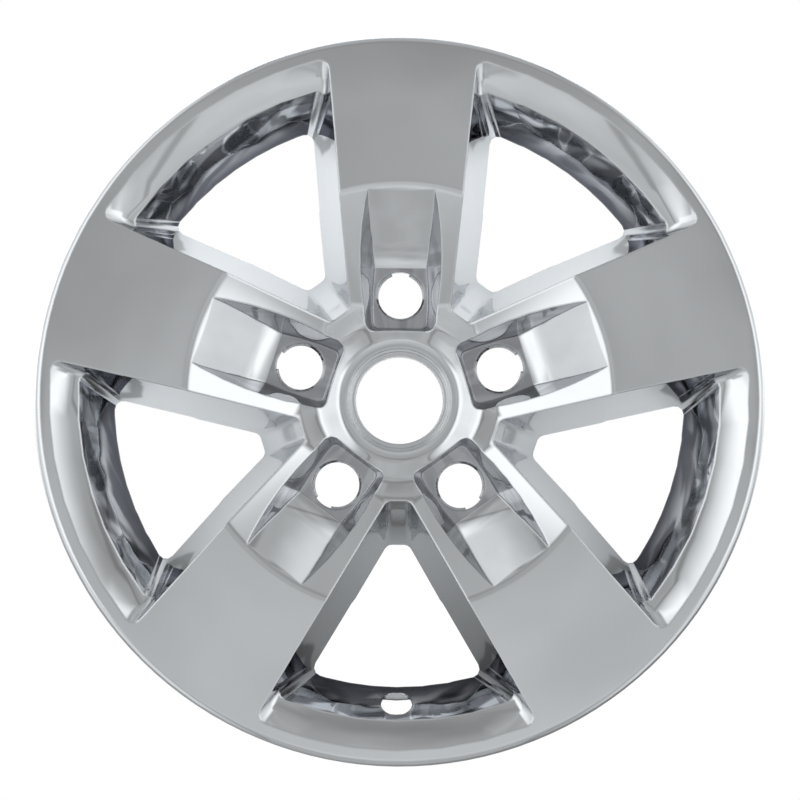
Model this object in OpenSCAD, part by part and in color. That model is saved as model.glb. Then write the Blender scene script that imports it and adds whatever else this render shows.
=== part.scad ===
// Wheel cover: a one-piece moulded skin that clips over a five-spoke wheel.
// It lies face up. Z runs along the wheel's axis, Z = 0 is the plane that the inner
// ends of the window walls rest on, and +Y runs out along one spoke.

/* [Rim] */
// Outer diameter over the skirt
cover_d = 420; // [410:1:430]
// Radial width of the plain rim outside the windows
rim_w = 10; // [9:0.5:12]
// Radius that rolls the face over into the skirt
rim_round = 5; // [4:0.5:7]
// Height of the skirt's rear edge above the rear plane
skirt_h = 39; // [34:0.5:42]
// Thickness of the moulded wall
wall = 3; // [2:0.25:3.5]

/* [Spoke face] */
// Height of the crown above the rear plane
crown_h = 61; // [59:0.5:64]
// Radius at which the face is highest
crown_r = 136; // [130:1:145]
// Radius of the arc that crowns the face
crown_arc = 1200; // [900:50:1600]
// Width of a spoke's face at the nut circle
spoke_w = 61.5; // [57:0.5:65]
// Angle by which each edge of a spoke opens towards the rim
spoke_taper = 5.25; // [4:0.25:6.5]
// Height of the rear edges along the spokes
rear_h = 18; // [14:0.5:20]
// How far inside the windows' inner ends the rear edges come down to the rear plane
foot_gap = 1.906; // [1.5:0.002:3]

/* [Hub] */
// Radius of the edge where the spoke face turns down towards the hub
star_r = 122; // [119:0.5:125]
// Radius that rounds this edge
star_round = 11; // [7:0.5:13]
// Angle at which the ridges fall from the edge towards the hub
hub_slope = 25; // [23:0.5:27]
// Height of the flat web that the ridges run into
web_h = 31; // [30:0.5:33]
// Radius of the web's inner edge
brow_r = 50; // [48.5:0.5:51.5]
// Height of the valley round the dome
valley_h = 17; // [16:0.25:17.25]
// Radius of the valley round the dome
valley_r = 40; // [39:0.25:41]
// Height of the dome round the centre hole
dome_h = 18; // [17.75:0.25:20]
// Radius of the dome's highest ring
dome_r = 34; // [33:0.25:35]
// Diameter of the recess that the wheel's own centre cap shows through
cap_d = 62; // [60:0.5:64]
// Depth of that recess below the dome
cap_depth = 2; // [1.5:0.25:3]
// Diameter of the inner step
step_d = 58.5; // [57:0.25:59.5]
// Depth of the inner step below the recess
step_depth = 1.5; // [1:0.25:2.5]
// Diameter of the centre hole
bore_d = 53; // [50:0.5:56]
// Height of the centre tube's rear end above the rear plane
tube_h = 4; // [2:0.5:7]

/* [Nut pockets] */
// Diameter of the circle of wheel nuts
nut_circle_d = 127; // [125:0.1:129]
// Diameter of a nut hole
nut_hole_d = 29.4; // [27:0.2:30]
// Height of the seat round a nut hole
seat_h = 12; // [10.5:0.5:13.5]
// Gap between a nut hole and the pocket's wall at the seat
seat_gap = 2.2; // [1.8:0.1:2.8]
// Distance from a nut hole's middle to the pocket's inner wall at the seat
pocket_back = 20; // [19:0.5:21]
// Draft of the pocket's walls
pocket_draft = 14.5; // [12:0.5:15]
// Radius from the hub at which the pocket is widest
pocket_wide_r = 60; // [57:1:64]
// Radius in plan of the pocket's bowed side walls
pocket_bow = 175; // [160:1:220]
// Radius of the pocket's inner corners
pocket_corner = 3.5; // [3:0.25:6]
// Radius from the hub of the bend across the ramp
ramp_bend_r = 95; // [92:0.5:98]
// Height of the bend across the ramp
ramp_bend_h = 27.5; // [26:0.5:30]
// Distance from the star's edge in to the ramp's outer end
ramp_gap = 3.8; // [3.4:0.2:5]
// Height of the collar's rear end above the rear plane
collar_h = 5; // [3:0.25:6]
// Thickness of the collar round a nut hole
collar_wall = 1.8; // [1.4:0.1:2]
// How far each gripping tab stands into the nut hole
tab_in = 1.2; // [0.8:0.1:2]
// Thickness of a gripping tab
tab_t = 2; // [1:0.1:2.5]
// Angle of the gap between two gripping tabs
tab_gap = 44; // [30:1:60]

/* [Windows] */
// Outer radius of a window at the height of the spokes' rear edges
window_r = 171; // [167:0.5:174]
// Radius at which the outer wall turns into the ledge
ledge_r = 185; // [182:0.5:187]
// Height at which the outer wall turns into the ledge
ledge_h = 51; // [49:0.5:52]
// Radius of the bend along the ledge
ledge_bend_r = 192.5; // [190:0.5:194]
// Height of the bend along the ledge
ledge_bend_h = 53; // [52.5:0.25:54]
// Draft of the walls along the spokes
side_draft = 18; // [15:0.5:19]
// Distance from the point where a window's two sides would meet to its inner end
end_cut = 11; // [9.5:0.5:13]
// Radius of the corners at the window's inner end
inner_corner = 5; // [3:0.25:6]
// Radius of a window's two outer corners
outer_corner = 5; // [4:0.25:7]

/* [Valve hole] */
// Diameter of the hole for the tyre valve
valve_d = 18.2; // [16:0.2:20]
// Height of the hole's centre on the window's outer wall
valve_h = 34.5; // [32.5:0.5:38]
// Lean of the hole's axis towards the hub
valve_lean = 26; // [22:1:32]

/* [Hidden] */
$fn = 96;
// Five spokes, five windows and five nut pockets, as on the wheel
spokes = 5;
pitch = 360 / spokes;
// Tabs in each nut hole
tabs = 3;
// How far cutters reach past what they cut
over = 6;
// Height to which what is cut out of the face rises
clear_h = crown_h + 3 * wall;

cover_r = cover_d / 2;
rim_in_r = cover_r - rim_w;
nut_r = nut_circle_d / 2;
hole_r = nut_hole_d / 2;
bore_r = bore_d / 2;
cap_r = cap_d / 2;
step_r = step_d / 2;
// Radius inside which the rear of the form steps up to the centre tube
tube_room_r = cap_r + wall + 1;
// Radius outside which the rear of the form steps up to the skirt
skirt_room_r = rim_in_r - 2 * wall;
// Angle between a window's middle and its two sides
side_lean = pitch / 2 - spoke_taper;

// Unit vector to the right of the line from a to b
function right_of(a, b) = [b[1] - a[1], a[0] - b[0]] / norm(b - a);

// The path moved to its right by t, with mitred corners
function moved(path, t) =
    let (last = len(path) - 1)
    [for (i = [0:last])
        let (
            before = right_of(path[max(i, 1) - 1], path[max(i, 1)]),
            after = right_of(path[min(i, last - 1)], path[min(i, last - 1) + 1])
        )
        path[i] + t * (before + after) / (1 + before * after)];

// Points along an arc about c, with angles measured from +Z towards +R
function arc(c, r, from, to, n) =
    [for (i = [0:n]) let (a = from + (to - from) * i / n) c + r * [sin(a), cos(a)]];

// The corner b of the path a, b, c as n + 1 points of a round of radius r
function round_corner(a, b, c, r, n) =
    let (
        u = (a - b) / norm(a - b),
        v = (c - b) / norm(c - b),
        half = acos(u * v) / 2,
        centre = b + (u + v) / norm(u + v) * r / sin(half),
        start = b + u * r / tan(half) - centre,
        end = b + v * r / tan(half) - centre,
        sweep = 180 - 2 * half,
        turn = sign(start[0] * end[1] - start[1] * end[0])
    )
    [for (i = [0:n]) let (t = turn * sweep * i / n)
        centre + [start[0] * cos(t) - start[1] * sin(t), start[0] * sin(t) + start[1] * cos(t)]];

// Height of the crowned face at radius r
function crown_at(r) = crown_h - crown_arc + sqrt(pow(crown_arc, 2) - pow(r - crown_r, 2));

// Height of the edge between the spoke face and the ridges, and radius at which the ridges reach the web
star_h = crown_at(star_r);
web_r = star_r - (star_h - web_h) / tan(hub_slope);

// How far the ridges have sunk below that edge at radius r
function sink_at(r) = min(max(star_r - r, 0), star_r - web_r) * tan(hub_slope);

crown_c = [crown_r, crown_h - crown_arc];
rim_round_c = [cover_r - rim_round,
    crown_c[1] + sqrt(pow(crown_arc - rim_round, 2) - pow(cover_r - rim_round - crown_r, 2))];
rim_round_a = atan((rim_round_c[0] - crown_c[0]) / (rim_round_c[1] - crown_c[1]));
// Angle at which the crown's arc takes over from the rounded edge of the star
star_a = asin((star_r + star_round - crown_r) / crown_arc);
// Radius of the arc from the dome's highest ring down to the valley
dome_arc = (pow(valley_r - dome_r, 2) + pow(dome_h - valley_h, 2)) / (2 * (dome_h - valley_h));

// The front face in section, from the bottom of the centre tube out to the skirt
face_path = concat(
    [
        [bore_r, tube_h],
        [bore_r, dome_h - cap_depth - step_depth],
        [step_r, dome_h - cap_depth - step_depth],
        [step_r, dome_h - cap_depth],
        [cap_r, dome_h - cap_depth]
    ],
    arc([dome_r, dome_h - dome_arc], dome_arc,
        asin((cap_r - dome_r) / dome_arc), asin((valley_r - dome_r) / dome_arc), 6),
    [[brow_r, web_h], [web_r, web_h]],
    round_corner([web_r, web_h], [star_r, star_h], crown_c + crown_arc * [sin(star_a), cos(star_a)], star_round, 4),
    arc(crown_c, crown_arc, star_a, rim_round_a, 8),
    arc(rim_round_c, rim_round, rim_round_a + 15, 90, 4),
    [[cover_r, skirt_h]]
);

// How far a window's point moves out for each unit of depth, and the lean of its inner end from that
tip_gain = sin(pitch / 2) - tan(spoke_taper) * cos(pitch / 2);
tip_run = tan(side_draft) / cos(spoke_taper) / tip_gain;
end_lean = atan(tip_run / (1 - tip_run * tan(hub_slope)));

// Distance from the hub to the point where the two sides of a window would meet, at height z on the spokes
function tip_at(z, inset) =
    (spoke_w / 2 - nut_r * tan(spoke_taper)
        + ((crown_h - z) * tan(side_draft) - inset / cos(side_draft)) / cos(spoke_taper)) / tip_gain;

// Distance from the hub at which a window's inner end passes the rear plane, and where the rear edges reach it
window_end_r = (tip_at(0, 0) + end_cut - tip_run * tan(hub_slope) * star_r) / (1 - tip_run * tan(hub_slope));
foot_r = window_end_r - foot_gap;

// The rear of the form in section: level along the spokes, then down beside the ridges to the rear plane
rear_path = [
    [skirt_room_r, skirt_h],
    [skirt_room_r, rear_h],
    [foot_r + rear_h / tan(hub_slope), rear_h],
    [foot_r, 0],
    [tube_room_r, 0],
    [tube_room_r, tube_h]
];

// The solid under the front face: the face itself, or the hollow behind it where inset is the wall
module face_form(inset) {
    path = moved(face_path, inset);
    last = len(path) - 1;
    face = [for (i = [1:last - 1]) path[i]];
    rotate_extrude() polygon(inset > 0
        ? concat(face, [[path[last][0], -over], [path[0][0], -over]])
        : concat(path, rear_path));
}

// The outer wall of a window in section: up the wall to the ledge, and along the bent ledge past the face
wall_run = (ledge_r - window_r) / (ledge_h - rear_h);
ledge_run = (rim_in_r - ledge_bend_r) / (crown_at(rim_in_r) - ledge_bend_h);
window_path = [
    [window_r - over * wall_run, rear_h - over],
    [ledge_r, ledge_h],
    [ledge_bend_r, ledge_bend_h],
    [ledge_bend_r + (clear_h - ledge_bend_h) * ledge_run, clear_h]
];

// The point of the line from a to b that lies at distance r from the hub
function crossing(a, b, r) =
    let (d = b - a, t = (sqrt(pow(a * d, 2) - d * d * (a * a - r * r)) - a * d) / (d * d))
    a + t * d;

// Outline of a window in plan, its own middle along +X, at height z on the spokes
function window_outline(z, r, inset) =
    let (
        tip = tip_at(z, inset),
        end = tip_at(z, 0) + end_cut - inset / cos(end_lean),
        end_w = (end - tip) * tan(side_lean),
        // Where the side line meets the outer circle, as an angle from the window's middle
        reach = side_lean - asin(tip * sin(side_lean) / r),
        // How far the round of that corner reaches along the circle, and the angle where it ends
        cut = (outer_corner + inset) / tan((90 - side_lean + reach) / 2),
        bare = reach - 2 * asin(cut / (2 * r)),
        steps = 6,
        rim = [for (i = [0:steps]) let (a = bare * (2 * i / steps - 1)) r * [cos(a), sin(a)]],
        near = round_corner([end, end_w], [end, -end_w], r * [cos(reach), -sin(reach)], inner_corner + inset, 3),
        far = round_corner([tip, 0], r * [cos(reach), -sin(reach)], rim[0], outer_corner + inset, 3),
        fold = crossing(near[3], far[0], star_r),
        side = concat(near, [near[3] * 2 / 3 + fold / 3, near[3] / 3 + fold * 2 / 3, fold], far)
    )
    concat(
        side,
        [for (i = [1:steps - 1]) rim[i]],
        [for (i = [len(side) - 1:-1:0]) [side[i][0], -side[i][1]]]
    );

// A solid skinned over rings of points of equal count
module skinned(rings) {
    n = len(rings[0]);
    levels = len(rings);
    walls = [for (k = [0:levels - 2]) for (i = [0:n - 1]) let (j = (i + 1) % n)
        each [[k * n + i, k * n + n + i, k * n + n + j], [k * n + i, k * n + n + j, k * n + j]]];
    lid = [for (i = [n - 1:-1:0]) (levels - 1) * n + i];
    base = [for (i = [0:n - 1]) i];
    polyhedron([for (ring = rings) each ring], concat(walls, [base, lid]));
}

function level(outline, z) = [for (p = outline) [p[0], p[1], z]];

// What is taken out of the face for one window: its walls sink with the ridges beside them
module window_cutter(inset) {
    path = moved(window_path, inset);
    outlines = [for (p = path) window_outline(p[1], p[0], inset)];
    last = len(path) - 1;
    skinned(concat(
        [level(outlines[0], web_h - crown_h - over)],
        [for (k = [0:last]) [for (p = outlines[k]) [p[0], p[1], path[k][1] - sink_at(norm(p))]]],
        [level(outlines[last], clear_h + over)]
    ));
}

// Outline of a nut pocket at height z, in plan, with the spoke along +Y
function pocket_outline(z, inset) =
    let (
        grow = (z - seat_h) * tan(pocket_draft) + inset / cos(pocket_draft),
        back = nut_r - pocket_back - grow,
        front = pocket_end_r,
        steps = 7,
        side = [for (i = [0:steps]) let (y = back + (front - back) * i / steps)
            [hole_r + seat_gap + grow
                + (pow(nut_r - pocket_wide_r, 2) - pow(y - pocket_wide_r, 2)) / (2 * pocket_bow), y]],
        mirrored = [for (p = side) [-p[0], p[1]]]
    )
    concat(
        round_corner(mirrored[0], side[0], side[1], pocket_corner, 4),
        [for (i = [1:steps]) side[i]],
        [for (i = [steps:-1:1]) mirrored[i]],
        round_corner(mirrored[1], mirrored[0], side[0], pocket_corner, 4)
    );

// The floor of a nut pocket in section, from the hub outwards: the seat, then the ramp with its bend
ramp_end_r = star_r - ramp_gap;
ramp_slope = (star_h - sink_at(ramp_end_r) - ramp_bend_h) / (ramp_end_r - ramp_bend_r);
pocket_end_r = ramp_bend_r + (clear_h - ramp_bend_h) / ramp_slope;
floor_path = [
    [bore_r, seat_h],
    [nut_r + hole_r + seat_gap, seat_h],
    [ramp_bend_r, ramp_bend_h],
    [pocket_end_r, clear_h]
];

// What is taken out of the face for one nut pocket
module pocket_cutter(inset) {
    path = moved(floor_path, inset);
    bottom = seat_h - inset - 1;
    half_w = 2 * nut_r;
    // The cutter stays just over the web, so that it clears its neighbours near the hub
    lid_h = web_h + 2 * wall;
    intersection() {
        skinned([level(pocket_outline(bottom, inset), bottom), level(pocket_outline(clear_h, inset), clear_h)]);
        translate([half_w / 2, 0, 0]) rotate([90, 0, -90]) linear_extrude(half_w)
            polygon(concat([for (p = path) [-p[0], p[1]]], [[-web_r, lid_h], [-bore_r, lid_h]]));
    }
}

module all_round() {
    for (i = [0:spokes - 1]) rotate(i * pitch) children();
}

// The face with its windows and pockets, or the hollow behind it
module pierced_form(inset) {
    difference() {
        difference() {
            face_form(inset);
            all_round() rotate(90 + pitch / 2) window_cutter(inset);
        }
        all_round() pocket_cutter(inset);
    }
}

// The collar that stands back from a nut pocket's seat
module nut_collar() {
    translate([0, nut_r, collar_h]) cylinder(h = seat_h - wall / 2 - collar_h, r = hole_r + collar_wall);
}

// What is cut out for a wheel nut: the hole, and at its rear a tighter one that three gaps part into tabs
module nut_hole() {
    translate([0, nut_r, collar_h]) {
        translate([0, 0, tab_t]) cylinder(h = seat_h, r = hole_r);
        translate([0, 0, -1]) cylinder(h = tab_t + 2, r = hole_r - tab_in);
        for (i = [0:tabs - 1]) rotate(90 + i * 360 / tabs) translate([0, 0, -1]) linear_extrude(tab_t + 1)
            polygon([[0, 0], for (s = [-1:1]) (hole_r + 2 * collar_wall)
                * [cos(s * tab_gap / 2), sin(s * tab_gap / 2)]]);
    }
}

// Radius at which the valve hole's axis meets the window's outer wall
valve_r = window_r + (valve_h - rear_h) * wall_run;

module valve_hole() {
    rotate(180) translate([0, valve_r, valve_h]) rotate([valve_lean, 0, 0])
        cylinder(h = 5 * wall, d = valve_d, center = true);
}

module wheel_cover() {
    color("silver") difference() {
        union() {
            difference() {
                pierced_form(0);
                pierced_form(wall);
            }
            all_round() nut_collar();
        }
        all_round() nut_hole();
        valve_hole();
    }
}

wheel_cover();
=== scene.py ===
# %% [markdown]
# # A chrome wheel cover in a bright studio
#
# The CAD frame gives one moulded shell. This lesson dresses it in bright chrome and
# lights it the way a catalogue photographer would, with soft panels round a pale table.

# %% Load the frame
import math

import bpy
from mathutils import Matrix, Vector


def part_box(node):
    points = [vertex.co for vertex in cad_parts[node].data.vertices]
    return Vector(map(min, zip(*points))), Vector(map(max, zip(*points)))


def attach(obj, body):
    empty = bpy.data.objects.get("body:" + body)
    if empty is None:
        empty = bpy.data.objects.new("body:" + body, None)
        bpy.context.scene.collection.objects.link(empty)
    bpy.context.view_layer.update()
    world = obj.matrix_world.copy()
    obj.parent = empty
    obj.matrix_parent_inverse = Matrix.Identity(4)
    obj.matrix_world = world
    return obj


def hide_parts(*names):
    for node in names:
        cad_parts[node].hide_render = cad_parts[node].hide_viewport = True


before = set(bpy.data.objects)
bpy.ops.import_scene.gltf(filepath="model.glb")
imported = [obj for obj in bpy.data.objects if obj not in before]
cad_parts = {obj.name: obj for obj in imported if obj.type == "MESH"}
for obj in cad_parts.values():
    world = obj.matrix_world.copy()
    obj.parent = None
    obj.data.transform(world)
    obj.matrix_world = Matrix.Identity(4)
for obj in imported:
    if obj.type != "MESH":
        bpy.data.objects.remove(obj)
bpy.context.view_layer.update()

MM = 0.001
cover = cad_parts["wheel_cover"]
low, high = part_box("wheel_cover")
RADIUS = (high[0] - low[0]) / 2
RIM_H = high[2]
print("cover", [round(v / MM, 1) for v in low], [round(v / MM, 1) for v in high])
print("polygons in the CAD mesh", len(cover.data.polygons))

# %% [markdown]
# ## A small language for shader maths
#
# A node tree gets long when every sum takes three lines. This class wraps a socket, so
# that `a * 0.5 + b` builds its own Math nodes.

# %% Socket arithmetic
class Sum:
    """A shader value that grows Math nodes when it meets an operator."""

    def __init__(self, shader, socket):
        self.shader = shader
        self.socket = socket

    def apply(self, operation, *others):
        """The result of any Math node with this value as its first input."""
        node = self.shader.tree.nodes.new("ShaderNodeMath")
        node.operation = operation
        for slot, value in zip(node.inputs, (self, *others)):
            self.shader.feed(slot, value)
        return Sum(self.shader, node.outputs[0])

    def __add__(self, other):
        return self.apply("ADD", other)

    def __mul__(self, other):
        return self.apply("MULTIPLY", other)

    def __sub__(self, other):
        return self.apply("SUBTRACT", other)

    def __rsub__(self, other):
        return (self * -1.0) + other

    def ramp(self, start, end):
        """0 at start, 1 at end, and a smooth step between them."""
        node = self.shader.tree.nodes.new("ShaderNodeMapRange")
        node.interpolation_type = "SMOOTHSTEP"
        self.shader.feed(node.inputs["Value"], self)
        node.inputs["From Min"].default_value = start
        node.inputs["From Max"].default_value = end
        return Sum(self.shader, node.outputs["Result"])

    __radd__ = __add__
    __rmul__ = __mul__


print("operators", [name for name in vars(Sum) if name.startswith("__r")])

# %% [markdown]
# The tree itself is wrapped too. One method makes any node, and its sockets are named
# as Blender names them, with underscores for spaces.

# %% Shader trees
class Shader:
    """The node tree of a material or a world."""

    def __init__(self, owner):
        owner.use_nodes = True
        self.tree = owner.node_tree
        self.tree.nodes.clear()

    def feed(self, slot, value):
        """Link a value to an input, or set the input where the value is a constant."""
        if isinstance(value, Sum):
            value = value.socket
        if isinstance(value, bpy.types.NodeSocket):
            self.tree.links.new(value, slot)
        else:
            slot.default_value = value

    def node(self, kind, settings=None, **sockets):
        """A node of any kind, with its settings and its inputs."""
        made = self.tree.nodes.new("ShaderNode" + kind)
        for name, value in (settings or {}).items():
            setattr(made, name, value)
        for name, value in sockets.items():
            self.feed(made.inputs[name.replace("_", " ")], value)
        return made

    def value(self, kind, output, settings=None, **sockets):
        """One output of such a node, ready for arithmetic."""
        return Sum(self, self.node(kind, settings, **sockets).outputs[output])

    def parts(self, vector):
        """The x, y and z of a vector."""
        split = self.node("SeparateXYZ", Vector=vector)
        return [Sum(self, split.outputs[axis]) for axis in "XYZ"]

    def choose(self, ray, other, chosen):
        """One shader for the named kind of ray, and another for every other ray."""
        mixed = self.node("MixShader")
        self.feed(mixed.inputs[0], self.node("LightPath").outputs[ray])
        self.feed(mixed.inputs[1], other.outputs[0])
        self.feed(mixed.inputs[2], chosen.outputs[0])
        return mixed.outputs[0]


print("a shader can", [name for name in vars(Shader) if not name.startswith("_")])

# %% [markdown]
# ## The studio
#
# Chrome shows nothing but its surroundings, so the studio is most of the picture. The
# camera and the table see plain white. The chrome sees a white panel on the left and
# another on the right, a grey ceiling slot between them, and grey walls lower down.
# Slow clouds keep these tones from being perfectly flat.
#
# A pair of numbers, here and below, is where a ramp starts and where it ends. The
# studio's ramps run along the x, y or z of the direction in which the chrome looks.

# %% Ceiling and walls
WHITE = 1.9
CLOUD_SCALE, CLOUD_DETAIL, CLOUD_ROUGH = 5.0, 2.0, 0.45
CEILING, CEILING_FALL, CEILING_DRIFT = 0.60, 0.42, 0.34
WALL, WALL_DRIFT = 0.56, 0.30
SLOT = (0.72, 0.88)

world = bpy.data.worlds.new("studio")
bpy.context.scene.world = world
studio = Shader(world)
direction = studio.node("TexCoord").outputs["Generated"]
to_x, to_y, to_z = studio.parts(direction)
drift = studio.value("TexNoise", 0, Vector=direction, Scale=CLOUD_SCALE,
                     Detail=CLOUD_DETAIL, Roughness=CLOUD_ROUGH) - 0.5
# the ceiling is darker towards the far side
ceiling = CEILING - to_y * CEILING_FALL + drift * CEILING_DRIFT
wall = WALL + drift * WALL_DRIFT
overhead = to_z.ramp(*SLOT)
grey = ceiling * overhead + wall * (1.0 - overhead)
print("nodes for the grey room", len(studio.tree.nodes))

# %% Panels
LEFT, RIGHT = (0.36, 0.58), (0.43, 0.66)
HOOD, HOOD_Y, HOOD_Z = 0.9, (-0.25, -0.45), (0.53, 0.60)
GLOW, GLOW_RISE, GLOW_Z, GLOW_DRIFT = 0.92, 0.55, (0.35, 0.72), 0.3
GAP, GAP_START, GAP_END = 0.35, (0.350, 0.370), (0.380, 0.405)

left = (to_x * -1.0).ramp(*LEFT)
right = to_x.ramp(*RIGHT)
# high up on the near side, a hood cuts both panels short
hood = to_y.ramp(*HOOD_Y) * to_z.ramp(*HOOD_Z)
panel = (left + right) * (1.0 - hood * HOOD)
glow = to_z.ramp(*GLOW_Z) * GLOW_RISE + GLOW + drift * GLOW_DRIFT
lit_room = grey * (1.0 - panel) + panel * glow
# a dark gap parts each panel from the ceiling
side = to_x.apply("ABSOLUTE")
gap = side.ramp(*GAP_START) * (1.0 - side.ramp(*GAP_END))
tone = lit_room * (1.0 - gap * GAP)
print("nodes with the panels", len(studio.tree.nodes))

# %% Two worlds
COOL = (0.985, 0.995, 1, 1)
chrome_sees = studio.node("Background", Color=COOL, Strength=tone)
table_sees = studio.node("Background", Color=(1, 1, 1, 1), Strength=WHITE)
studio.node("OutputWorld", Surface=studio.choose("Is Glossy Ray", table_sees, chrome_sees))
print("studio nodes", len(studio.tree.nodes))

# %% [markdown]
# ## The skin
#
# Chrome shows every facet. So the shell's mesh is copied, and each corner of the copy
# gets the normal that the true curved surface has there. The shape stays as it is.

# %% Copy the shell
skin_mesh = cover.data.copy()
skin_mesh.name = "cover_skin"
skin = bpy.data.objects.new("cover_skin", skin_mesh)
bpy.context.scene.collection.objects.link(skin)
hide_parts("wheel_cover")
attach(skin, "root")
print("skin polygons", len(skin_mesh.polygons))

# %% [markdown]
# ### The face as one curve
#
# The face is a turned surface. At a radius from the hub, its normal leans outward by
# an angle whose sine is the *lean* below: negative where the face looks at the hub.

# %% Lean of the face
CROWN_R, CROWN_ARC = 136 * MM, 1200 * MM
FOLD_IN, FOLD_ROUND = 119.8 * MM, 11 * MM
RIDGE_LEAN = math.sin(math.radians(25))
WEB_IN, WEB_OUT, WEB_FLAT = 55.0 * MM, 61.5 * MM, 57.8 * MM


def smooth(value, start, end):
    """The smooth step of a plain number."""
    share = min(max((value - start) / (end - start), 0), 1)
    return share * share * (3 - 2 * share)


def face_lean(r):
    """Flat web, ridge towards the hub, rounded fold, then the crown."""
    crown = (r - CROWN_R) / CROWN_ARC
    if r < FOLD_IN:
        return -RIDGE_LEAN * smooth(r, WEB_IN, WEB_OUT)
    return max(-RIDGE_LEAN, min(crown, -RIDGE_LEAN + (r - FOLD_IN) / FOLD_ROUND))


def facet_lean(r):
    """The lean of the CAD's own facets, which have a sharp edge at the web."""
    if r < WEB_FLAT:
        return 0
    return face_lean(r) if r > FOLD_IN else -RIDGE_LEAN


for r in (52, 90, 122, 140, 200):
    print("radius", r, "lean", round(face_lean(r * MM), 3))

# %% Lean round the hub
NECK_LEAN, NECK_START, NECK_END = -0.50, (33 * MM, 38.5 * MM), (45.5 * MM, 54 * MM)
DOME_LEAN, DOME_END = 0.10, (30.5 * MM, 34 * MM)


def hub_lean(r):
    """The dome and the neck, which flow into each other through the valley."""
    neck = smooth(r, *NECK_START) * (1 - smooth(r, *NECK_END))
    return NECK_LEAN * neck + DOME_LEAN * (1 - smooth(r, *DOME_END))


def leaning(point, lean):
    """The unit normal at a point that leans outward by that sine."""
    r = math.hypot(point.x, point.y)
    return Vector((lean * point.x / r, lean * point.y / r, math.sqrt(1 - lean * lean)))


for r in (31, 42, 52):
    print("radius", r, "lean", round(hub_lean(r * MM), 3))

# %% [markdown]
# ### Spokes and windows
#
# Everything repeats five times. Two helpers say which spoke is nearest to a point, and
# how far the point's bearing is from the middle of its window.

# %% Spokes and windows
PITCH = 360 / 5
FIRST_SPOKE = 90


def bearing_of(point):
    return math.degrees(math.atan2(point.y, point.x))


def spoke_at(point):
    """The direction of the spoke nearest to a point."""
    turn = math.radians(round((bearing_of(point) - FIRST_SPOKE) / PITCH) * PITCH + FIRST_SPOKE)
    return Vector((math.cos(turn), math.sin(turn), 0))


def beside(axis, vector):
    """How far a vector reaches to the side of a spoke."""
    return vector.x * -axis.y + vector.y * axis.x


def off_middle(point):
    """Degrees between a point's bearing and the middle of its window."""
    return abs((bearing_of(point) + FIRST_SPOKE + PITCH / 2) % PITCH - PITCH / 2)


print("windows have their middles at", [FIRST_SPOKE + PITCH * (i + 0.5) for i in range(5)])

# %% [markdown]
# ### Which part of the shell a polygon belongs to
#
# A polygon is known by its place and its slope: `_R` limits the radius, `_Z` the height,
# `_UP` the normal's upward part, `_LEAN` its outward part and `_TWIST` what is left. The
# limits leave out the fillets, which keep a plain average of the facets round them.

# %% Sort the polygons
FACE_R, HUB_R, RAMP_R = (49.9 * MM, 204.6 * MM), (30.9 * MM, 50 * MM), (78 * MM, 122 * MM)
LEDGE_R, WALL_R = (185 * MM, 200 * MM), (168 * MM, 185 * MM)
FACE_Z, HUB_Z, POCKET_Z = 25 * MM, 16.3 * MM, 11 * MM
POCKET_ALONG, POCKET_HALF, SIDE_R = (40 * MM, 121 * MM), 24.5 * MM, 118 * MM
FACE_UP, FACE_TWIST, FACE_ERROR = 0.85, 0.03, 0.09
HUB_UP, HUB_TWIST = 0.5, 0.05
RAMP_UP, RAMP_TWIST, RAMP_LEAN = (0.55, 0.75), 0.01, -0.6
LEDGE_UP, LEDGE_TWIST, LEDGE_LEAN = 0.6, 0.12, (-0.75, -0.15)
WALL_UP, WALL_LEAN = (0.3, 0.5), -0.85
SIDE_UP, SIDE_TWIST = (0.2, 0.45), 0.75


def within(value, span):
    return span[0] < value < span[1]


def place_of(poly):
    """Radius of a polygon's centre, and its normal's parts outward and round the hub."""
    flat, centre = poly.normal, poly.center
    r = math.hypot(centre.x, centre.y)
    outward = (flat.x * centre.x + flat.y * centre.y) / r
    twist = abs(flat.x * centre.y - flat.y * centre.x) / r
    return r, outward, twist


def kind_of(poly):
    """The name of the surface that a polygon is a facet of."""
    r, outward, twist = place_of(poly)
    axis, up, z = spoke_at(poly.center), poly.normal.z, poly.center.z
    if within(r, WALL_R) and outward < WALL_LEAN and within(up, WALL_UP):
        return "wall"
    if (within(r, LEDGE_R) and within(outward, LEDGE_LEAN)
            and up > LEDGE_UP and twist < LEDGE_TWIST):
        return "ledge"
    if (within(r, RAMP_R) and within(up, RAMP_UP) and poly.normal.dot(axis) < RAMP_LEAN
            and abs(beside(axis, poly.normal)) < RAMP_TWIST):
        return "ramp"
    if within(r, HUB_R) and up > HUB_UP and twist < HUB_TWIST and z > HUB_Z:
        return "hub"
    if (within(r, FACE_R) and up > FACE_UP and twist < FACE_TWIST and z > FACE_Z
            and abs(outward - facet_lean(r)) < FACE_ERROR):
        return "face"
    return "other"


kinds = [kind_of(poly) for poly in skin_mesh.polygons]
print("facets", {kind: kinds.count(kind) for kind in sorted(set(kinds))})

# %% [markdown]
# ### Normals of the pockets and the windows
#
# The ramp of a nut pocket is bent once and bowed a little. A window's outer wall is
# steep, and the ledge above it leans more gently in the middle than at its ends.

# %% Ramps, ledges and walls
RAMP_MAIN, RAMP_TOP, RAMP_FOOT, RAMP_BOW = 0.60, 0.06, 0.40, 0.10
RAMP_TOP_AT, RAMP_FOOT_AT, RAMP_HALF = (118 * MM, 97 * MM), (81 * MM, 95 * MM), 20 * MM
LEDGE_MIDDLE, LEDGE_END, LEDGE_TURN = (18, 8), (10, 34), (14, 26)
WALL_FOOT_LEAN, WALL_GAIN, WALL_RISE = -0.93, 0.11, (18 * MM, 51 * MM)
# of LEDGE_MIDDLE and LEDGE_END: degrees at the inner edge, and what the width adds to them


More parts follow.
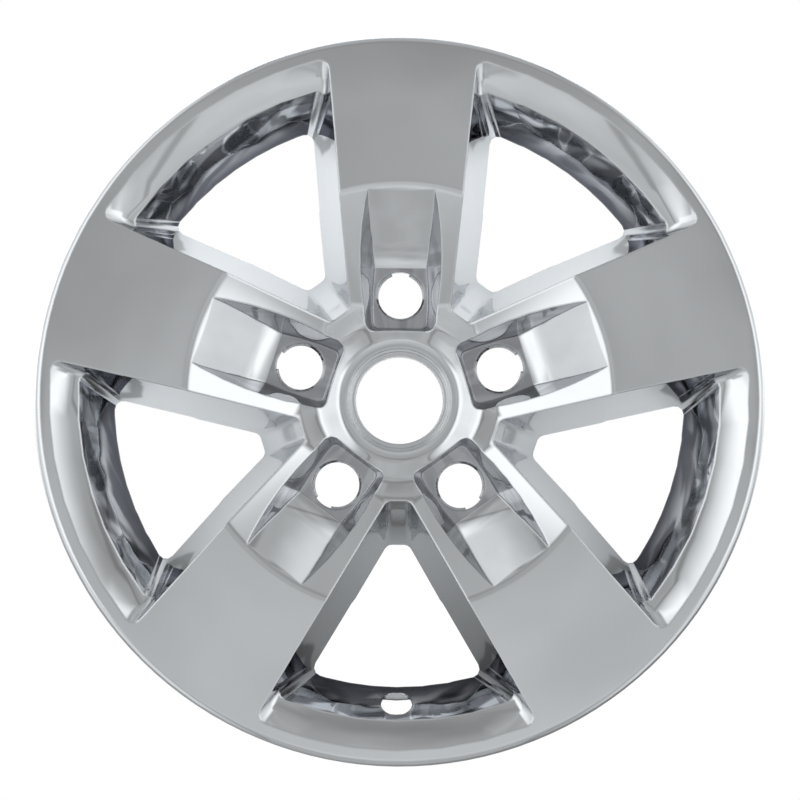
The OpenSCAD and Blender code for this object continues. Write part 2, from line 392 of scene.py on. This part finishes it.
def ramp_normal(axis, point):
    out = point.dot(axis)
    lean = (RAMP_MAIN + RAMP_TOP * smooth(out, *RAMP_TOP_AT)
            - RAMP_FOOT * (1 - smooth(out, *RAMP_FOOT_AT)))
    bow = RAMP_BOW * beside(axis, point) / RAMP_HALF
    across = Vector((-axis.y, axis.x, 0))
    rise = Vector((0, 0, math.sqrt(1 - lean * lean)))
    return (across * bow - axis * lean + rise).normalized()


def ledge_normal(point):
    at = math.hypot(point.x, point.y)
    share = min(max((at - LEDGE_R[0]) / (LEDGE_R[1] - LEDGE_R[0]), 0), 1)
    end = smooth(off_middle(point), *LEDGE_TURN)
    middle = LEDGE_MIDDLE[0] + LEDGE_MIDDLE[1] * share
    degrees = middle * (1 - end) + (LEDGE_END[0] + LEDGE_END[1] * share) * end
    return leaning(point, -math.sin(math.radians(degrees)))


def wall_normal(point):
    return leaning(point, WALL_FOOT_LEAN + WALL_GAIN * smooth(point.z, *WALL_RISE))


for off in (0, 20, 30):
    print("degrees off the middle", off, "ledge end", round(smooth(off, *LEDGE_TURN), 2))

# %% [markdown]
# ### All corners
#
# Every other corner takes the average of the facets that meet there at a small angle,
# weighted by their areas. Sharp edges stay sharp.

# %% Corner normals
SMOOTH = math.cos(math.radians(33))
NECK_TOP = 54 * MM


def key(point):
    return tuple(round(c * 1e6) for c in point)


around = {}
for poly in skin_mesh.polygons:
    for index in poly.vertices:
        around.setdefault(key(skin_mesh.vertices[index].co), []).append(poly.index)
flats = [poly.normal.copy() for poly in skin_mesh.polygons]
areas = [poly.area for poly in skin_mesh.polygons]


def average(flat, point):
    """The mean normal of the facets at a point that lie close to this one."""
    total = Vector((0, 0, 0))
    for other in around[key(point)]:
        if flats[other].dot(flat) > SMOOTH:
            total += flats[other] * areas[other]
    return total.normalized() if total.length > 0 else flat


def corner_normal(kind, poly, point):
    at = math.hypot(point.x, point.y)
    if kind == "hub" or kind == "face" and at <= NECK_TOP:
        return leaning(point, hub_lean(at))
    if kind == "face":
        return leaning(point, face_lean(at))
    if kind == "ramp":
        return ramp_normal(spoke_at(poly.center), point)
    if kind == "ledge":
        return ledge_normal(point)
    return wall_normal(point) if kind == "wall" else average(flats[poly.index], point)


normals = [None] * len(skin_mesh.loops)
for poly, kind in zip(skin_mesh.polygons, kinds):
    for loop, index in zip(poly.loop_indices, poly.vertices):
        normals[loop] = corner_normal(kind, poly, skin_mesh.vertices[index].co)
print("corners", len(normals), "points", len(around))

# %% [markdown]
# ### Painted corners
#
# The nut pockets and the windows' outer walls lie deep in the mould. One attribute says how
# much painted shade, painted reflection streaks and ripple they get. `shaded_corner` marks
# the windows' side walls' outer ends, which get a painted reflection of their dark neighbours.

# %% Painted corners
# amounts of painted shade and ripple: pockets, outer walls, and more at the walls' feet
POCKET_SHADE_RIPPLE, WALL_SHADE_RIPPLE, FOOT_SHADE_RIPPLE, FOOT_RISE = 0.9, 1.0, 0.45, (20 * MM, 44 * MM)
SHADE_OUT, SHADE_UP, SHADE_FOOT, SHADE_GAIN = (121 * MM, 192 * MM), (18 * MM, 58 * MM), 0.8, 0.6


def in_pocket(poly):
    axis = spoke_at(poly.center)
    return (within(poly.center.dot(axis), POCKET_ALONG) and poly.center.z > POCKET_Z
            and abs(beside(axis, poly.center)) < POCKET_HALF)


def on_side(poly):
    r, _, twist = place_of(poly)
    return within(poly.normal.z, SIDE_UP) and twist > SIDE_TWIST and r > SIDE_R


shade_ripple_at = [0.0] * len(skin_mesh.loops)
shaded_at = [0.0] * len(skin_mesh.loops)
for poly, kind in zip(skin_mesh.polygons, kinds):
    pocket = kind == "other" and in_pocket(poly)
    window_side = kind == "other" and on_side(poly)
    for loop, index in zip(poly.loop_indices, poly.vertices):
        point = skin_mesh.vertices[index].co
        # painted shade and ripple in the pockets and on the outer walls, most at their feet
        if pocket:
            shade_ripple_at[loop] = POCKET_SHADE_RIPPLE
        elif kind == "wall":
            shade_ripple_at[loop] = WALL_SHADE_RIPPLE + FOOT_SHADE_RIPPLE * (1 - smooth(point.z, *FOOT_RISE))
        if window_side:
            height = SHADE_FOOT + SHADE_GAIN * smooth(point.z, *SHADE_UP)
            shaded_at[loop] = smooth(math.hypot(point.x, point.y), *SHADE_OUT) * height
print("thin corners", sum(v > 0 for v in shade_ripple_at), "shaded", sum(v > 0 for v in shaded_at))

# %% Put them on the skin
for poly in skin_mesh.polygons:
    poly.use_smooth = True
skin_mesh.normals_split_custom_set(normals)
for name, values in (("painted_shade_and_ripple", shade_ripple_at), ("shaded_corner", shaded_at)):
    skin_mesh.attributes.new(name, "FLOAT", "CORNER").data.foreach_set("value", values)
print("attributes", [a.name for a in skin_mesh.attributes if a.domain == "CORNER"])

# %% [markdown]
# ## Chrome
#
# The plating is bright and a little blue. A Bevel node rounds the creases in the reflection,
# as the mould's small radii do; deep parts are rippled and get painted shade and reflections.

# %% Surface of the plating
BEVEL_R, BEVEL_RAYS = 1.8 * MM, 6
WAVE_SCALE, WAVE_DETAIL, WAVE_ROUGH = 34.0, 1.0, 0.4
RIPPLE, DEEP_RIPPLE, RIPPLE_H = 0.025, 0.42, 0.004

chrome = bpy.data.materials.new("bright chrome")
plate = Shader(chrome)
shade_ripple_mask = plate.value("Attribute", "Fac", {"attribute_name": "painted_shade_and_ripple"})
shaded = plate.value("Attribute", "Fac", {"attribute_name": "shaded_corner"})
place = plate.node("TexCoord").outputs["Object"]
wave = plate.value("TexNoise", 0, Vector=place, Scale=WAVE_SCALE, Detail=WAVE_DETAIL,
                   Roughness=WAVE_ROUGH)
rounded = plate.node("Bevel", {"samples": BEVEL_RAYS}, Radius=BEVEL_R)
ripple = plate.node("Bump", Strength=shade_ripple_mask * DEEP_RIPPLE + RIPPLE, Distance=RIPPLE_H,
                    Height=wave, Normal=rounded.outputs["Normal"])
print("nodes for the surface", len(plate.tree.nodes))

# %% [markdown]
# The streaks are painted reflections. They follow the wall round the hub, because the noise
# is read on the unrolled wall: by bearing along it, and by height across it.

# %% Painted reflection streaks on the outer walls
STREAK_ALONG, STREAK_UP, STREAK_SLANT, STREAK_BEND = 5.5, 90.0, 4.0, 0.5
STREAK_EDGE, STREAK_FOOT, OUTER_EDGE = (0.42, 0.60), (1.45, 1.1), (0.92, 0.99)
POCKET_STREAK, POCKET_LIGHT = 0.25, 0.22

x, y, z = plate.parts(place)
bearing = y.apply("ARCTAN2", x)
unrolled = plate.node("CombineXYZ", X=bearing * STREAK_ALONG,
                      Y=z * STREAK_UP + bearing * STREAK_SLANT)
blot = plate.value("TexNoise", 0, Vector=unrolled.outputs[0], Scale=1.0,
                   Detail=WAVE_DETAIL, Roughness=WAVE_ROUGH, Distortion=STREAK_BEND)
outer = shade_ripple_mask.ramp(*OUTER_EDGE)
# painted reflections: lighter patches in the painted shade, and lighter pockets
reflection_streaks = (blot.ramp(*STREAK_EDGE) * shade_ripple_mask.ramp(*STREAK_FOOT)
          * (POCKET_STREAK + outer * (1 - POCKET_STREAK)) + (1.0 - outer) * POCKET_LIGHT)
print("nodes with the streaks", len(plate.tree.nodes))

# %% Painted reflection wedges at the windows' outer corners
WEDGE_WAVE, WEDGE_EDGE, CORE_EDGE, TIP_EDGE = 0.35, (0.58, 0.66), (0.76, 0.86), (1.02, 1.12)
CORE_LIGHT, TIP_DARK = 1.1, 0.9

# painted reflection of the dark outer wall: a dark wedge, a lighter core and a dark tip
near = shaded + (wave - 0.5) * WEDGE_WAVE
reflection_core = near.ramp(*CORE_EDGE)
wedge_reflection = near.ramp(*WEDGE_EDGE) - reflection_core * CORE_LIGHT + near.ramp(*TIP_EDGE) * TIP_DARK
print("nodes with the wedges", len(plate.tree.nodes))

# %% Chrome material
TINT = (0.665, 0.68, 0.695)
PAINTED_SHADE_DARK, STREAK_LIGHT, WEDGE_DARK, CORE_BLUE, PAINTED_SHADE_BLUE = 0.60, 0.66, 0.58, 0.03, 0.012
POLISH = 0.04

# painted shade darkens the deep parts; painted reflections make streaks, wedges and a bluish
# core
painted_tone = (1.0 - shade_ripple_mask * (PAINTED_SHADE_DARK - reflection_streaks * STREAK_LIGHT)) * (1.0 - wedge_reflection * WEDGE_DARK)
colour = plate.node("CombineColor", Red=painted_tone * TINT[0], Green=painted_tone * TINT[1],
                    Blue=painted_tone * (TINT[2] + reflection_core * CORE_BLUE) + shade_ripple_mask * PAINTED_SHADE_BLUE)
coat = plate.node("BsdfPrincipled", Base_Color=colour.outputs[0], Metallic=1.0,
                  Roughness=POLISH, Normal=ripple.outputs["Normal"])
plate.node("OutputMaterial", Surface=coat.outputs[0])
skin_mesh.materials.clear()
skin_mesh.materials.append(chrome)
print("material slots", len(skin.material_slots))

# %% [markdown]
# ## Camera
#
# The rings of the photograph say where its camera stood: not quite four radii above the
# rim's plane, and leaning by about three degrees towards the side of the valve hole.

# %% Camera
TILT, ROLL = math.radians(2.9), math.radians(0.55)
DISTANCE = 3.73 * RADIUS
AIM_X, AIM_Y = 0.0017 * RADIUS, -0.0110 * RADIUS
LENS, SENSOR, FAR = 61.9, 36, 100

aim = Vector((AIM_X, AIM_Y, RIM_H))
eye = aim + DISTANCE * Vector((0, -math.sin(TILT), math.cos(TILT)))
lens = bpy.data.cameras.new("studio camera")
lens.sensor_width = SENSOR
lens.lens = LENS
lens.clip_end = FAR
camera = bpy.data.objects.new("studio camera", lens)
bpy.context.scene.collection.objects.link(camera)
back = (eye - aim).normalized()
across = Vector((0, 1, 0)).cross(back).normalized()
turn = Matrix.Rotation(ROLL, 3, back)
axes = (turn @ across, turn @ back.cross(across), back)
camera.matrix_world = Matrix.Translation(eye) @ Matrix(axes).transposed().to_4x4()
bpy.context.scene.camera = camera
print("camera at", [round(v, 3) for v in eye])

# %% [markdown]
# ## Table
#
# The camera sees a white table. The chrome sees it in grey, with painted shade that is darker
# towards the viewer and a little to the right, because that is what the walls of the windows
# mirror.

# %% Table
TABLE_SIZE = 60 * RADIUS
SHADE, SHADE_Y, SHADE_FAR = 0.24, (-0.18, 0.06), 0.68
SHADE_X, SHADE_RIGHT = (-0.20, 0.20), 0.10
RED, GREEN = 0.96, 0.985

bpy.ops.mesh.primitive_plane_add(size=TABLE_SIZE, location=(0, 0, 0))
table = bpy.context.object
table.name = "table"
cloth = bpy.data.materials.new("pale table")
paper = Shader(cloth)
table_x, table_y, _ = paper.parts(paper.node("NewGeometry").outputs["Position"])
# painted shade: darker towards the viewer and a little to the right
shade = SHADE + table_y.ramp(*SHADE_Y) * SHADE_FAR - table_x.ramp(*SHADE_X) * SHADE_RIGHT
mirrored = paper.node("CombineColor", Red=shade * RED, Green=shade * GREEN, Blue=shade)
sheet = paper.node("BsdfPrincipled", Base_Color=mirrored.outputs[0], Roughness=1.0)
seen = paper.node("Emission", Color=(1, 1, 1, 1), Strength=1.0)
paper.node("OutputMaterial", Surface=paper.choose("Is Camera Ray", sheet, seen))
table.data.materials.append(cloth)
bpy.context.scene.view_settings.view_transform = "Standard"
print("table", round(TABLE_SIZE, 2), "m wide")

# %% [markdown]
# ## Finish
#

# %% Finish
print("finished")
